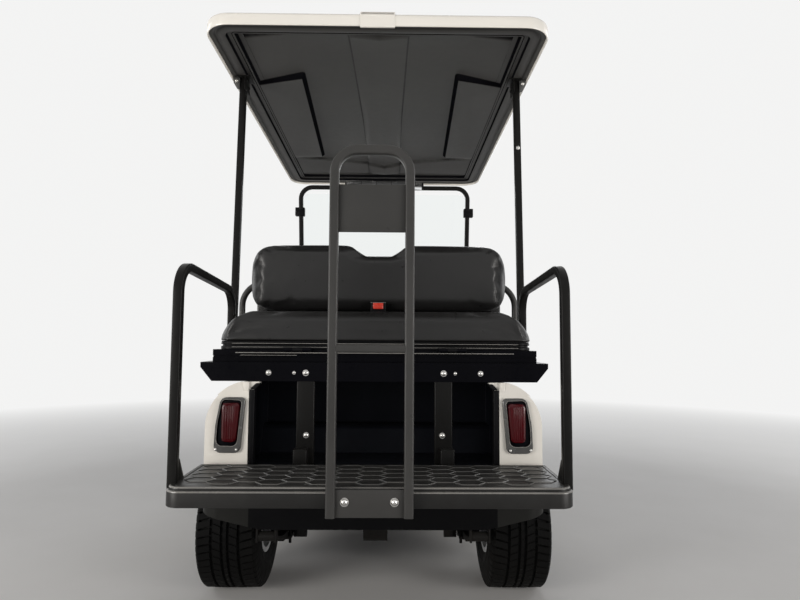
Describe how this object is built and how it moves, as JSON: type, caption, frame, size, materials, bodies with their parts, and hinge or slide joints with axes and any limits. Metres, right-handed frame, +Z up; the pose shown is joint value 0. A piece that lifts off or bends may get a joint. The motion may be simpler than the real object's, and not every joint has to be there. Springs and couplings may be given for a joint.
{
  "type": "golf cart",
  "caption": "White golf cart with a roof, a forward seat and a rear-facing flip seat over a footrest deck, side rails and a grab hoop.",
  "frame": {"origin": "on the ground, midway between the rear face of the grab hoop and the front face of the bumper, on the centre line", "axes": "+Y the way it drives, +X its right side, +Z up"},
  "size_m": [1.1768, 2.7, 1.9708],
  "materials": {
    "tyre": "matt rubber",
    "rim": "satin silver paint",
    "body_white": "gloss moulded, warm white",
    "roof_dark": "satin charcoal",
    "valance_grey": "satin dark grey",
    "black_plastic": "textured black",
    "seat_base_black": "satin black",
    "black_tube": "satin black powder coat",
    "vinyl": "black vinyl, fine grain",
    "bezel": "dark grey",
    "lens_red": "clear dark red",
    "lens_clear": "clear",
    "windscreen": "clear sheet",
    "mirror": "black shell",
    "buckle": "red button",
    "chassis_black": "black chassis paint",
    "motor_grey": "cast, satin",
    "battery": "plain block",
    "wheel_grip": "soft grip"
  },
  "bodies": {
    "chassis": {"rear_body": "body_white", "front_cowl": "body_white", "roof_shell": "body_white", "roof_liner": "roof_dark", "rear_valance": "valance_grey", "front_bumper": "valance_grey", "rocker_panels": "valance_grey", "bagwell": "black_plastic", "footrest_deck": "black_plastic", "dash": "black_plastic", "cup_shelf": "black_plastic", "floor": "black_plastic", "pedals": "black_plastic", "rear_seat_base": "seat_base_black", "grab_hoop": "black_tube", "side_rails": "black_tube", "rear_struts": "black_tube", "front_strut": "black_tube", "backrest_frame": "black_tube", "deck_supports": "black_tube", "steering_column": "black_tube", "seat_hinge_posts": "black_tube", "rear_backrest": "vinyl", "front_backrest": "vinyl", "tail_lamp_bezels": "bezel", "tail_lamp_lenses": "lens_red", "headlamps": "lens_clear", "windshield": "windscreen", "mirror": "mirror", "belt_buckle": "buckle", "chassis_frame": "chassis_black", "springs": "chassis_black", "dampers": "chassis_black", "front_axle": "chassis_black", "rear_axle": "chassis_black", "motor": "motor_grey", "battery_block": "battery"},
    "knuckle_left": {"knuckle_left": "chassis_black"},
    "knuckle_right": {"knuckle_right": "chassis_black"},
    "tie_rod": {"tie_rod": "chassis_black"},
    "wheel_front_left": {"tyre_front_left": "tyre", "rim_front_left": "rim"},
    "wheel_front_right": {"tyre_front_right": "tyre", "rim_front_right": "rim"},
    "wheel_rear_left": {"tyre_rear_left": "tyre", "rim_rear_left": "rim"},
    "wheel_rear_right": {"tyre_rear_right": "tyre", "rim_rear_right": "rim"},
    "steering_wheel": {"steering_wheel": "wheel_grip"},
    "front_seat": {"front_seat_pan": "black_plastic", "front_cushion": "vinyl"},
    "rear_seat": {"rear_seat_pan": "black_plastic", "rear_cushion": "vinyl"}
  },
  "joints": [
    {"name": "steering", "type": "hinge", "parent": "chassis", "child": "steering_wheel", "pos_m": [-0.28, 0.286, 0.93], "axis": [0, -0.6581, 0.7529], "range_deg": [-450, 450]},
    {"name": "kingpin_left", "type": "hinge", "parent": "chassis", "child": "knuckle_left", "pos_m": [-0.39, 0.97, 0.229], "axis": [0, 0, 1], "range_deg": [-30.1, 30.1]},
    {"name": "kingpin_right", "type": "hinge", "parent": "chassis", "child": "knuckle_right", "pos_m": [0.39, 0.97, 0.229], "axis": [0, 0, 1], "range_deg": [-30.1, 30.1]},
    {"name": "tie_rod_slide", "type": "slide", "parent": "chassis", "child": "tie_rod", "axis": [1, 0, 0], "range_m": [-0.0657, 0.0657]},
    {"name": "roll_front_left", "type": "hinge", "parent": "knuckle_left", "child": "wheel_front_left", "pos_m": [-0.45, 0.97, 0.229], "axis": [1, 0, 0], "continuous": true},
    {"name": "roll_front_right", "type": "hinge", "parent": "knuckle_right", "child": "wheel_front_right", "pos_m": [0.45, 0.97, 0.229], "axis": [1, 0, 0], "continuous": true},
    {"name": "roll_rear_left", "type": "hinge", "parent": "chassis", "child": "wheel_rear_left", "pos_m": [-0.485, -0.694, 0.229], "axis": [1, 0, 0], "continuous": true},
    {"name": "roll_rear_right", "type": "hinge", "parent": "chassis", "child": "wheel_rear_right", "pos_m": [0.485, -0.694, 0.229], "axis": [1, 0, 0], "continuous": true},
    {"name": "front_seat_lid", "type": "hinge", "parent": "chassis", "child": "front_seat", "pos_m": [0, -0.469, 0.69], "axis": [1, 0, 0], "range_deg": [0, 50]},
    {"name": "rear_seat_flip", "type": "hinge", "parent": "chassis", "child": "rear_seat", "pos_m": [0, -0.979, 0.84], "axis": [1, 0, 0], "range_deg": [0, 180]}
  ],
  "couplings": [
    {"joint": "kingpin_left", "follows": "steering", "ratio": 0.066667},
    {"joint": "kingpin_right", "follows": "steering", "ratio": 0.066667},
    {"joint": "tie_rod_slide", "follows": "steering", "m_per_rad": 0.008333}
  ]
}
